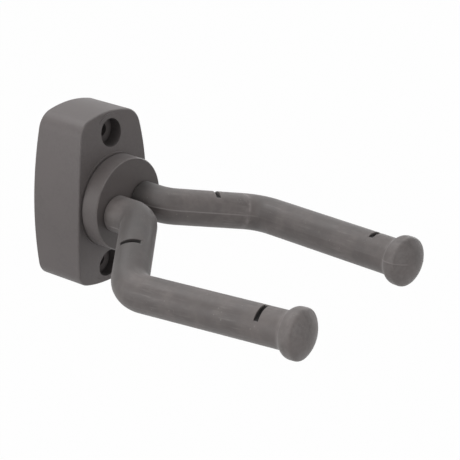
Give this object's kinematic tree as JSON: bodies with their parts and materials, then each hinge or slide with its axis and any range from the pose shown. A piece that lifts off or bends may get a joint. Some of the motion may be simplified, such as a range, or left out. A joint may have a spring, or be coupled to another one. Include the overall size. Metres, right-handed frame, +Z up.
{
  "type": "wall guitar hanger",
  "caption": "Wall hanger for a guitar: a bowed base with counterbored screw holes carries a friction swivel and a yoke of two bent rubber-covered arms with bulb tips.",
  "frame": {"origin": "on the wall plane, on the swivel axis, midway between the two wall screws", "axes": "+Z up, +X to the right as seen from the room, +Y into the wall; the arms reach out towards -Y"},
  "size_m": [0.0894, 0.1393, 0.0694],
  "materials": {
    "base_plastic": "fine spark texture, matt",
    "disc_plastic": "fine texture, matt",
    "slip_plastic": "smooth, slightly waxy, dark grey",
    "arm_rubber": "matt, faintly mottled and dusty",
    "rod_steel": "drawn",
    "insert_brass": "turned",
    "zinc_steel": "zinc plated",
    "spring_steel": "pressed, lightly oiled",
    "black_screw": "black oxide"
  },
  "bodies": {
    "wall_base": {"base_housing": "base_plastic", "seat_washer": "slip_plastic", "rear_friction_washer": "slip_plastic"},
    "yoke": {"hub_disc": "disc_plastic", "threaded_insert": "insert_brass", "steel_washer": "zinc_steel", "spring_washer": "spring_steel", "retaining_screw": "black_screw", "core_rod_left": "rod_steel", "core_rod_right": "rod_steel", "rubber_arm_left": "arm_rubber", "rubber_arm_right": "arm_rubber"}
  },
  "joints": [
    {"name": "yoke_swivel", "type": "hinge", "parent": "wall_base", "child": "yoke", "pos_m": [0, -0.023, 0], "axis": [0, 1, 0], "continuous": true}
  ]
}
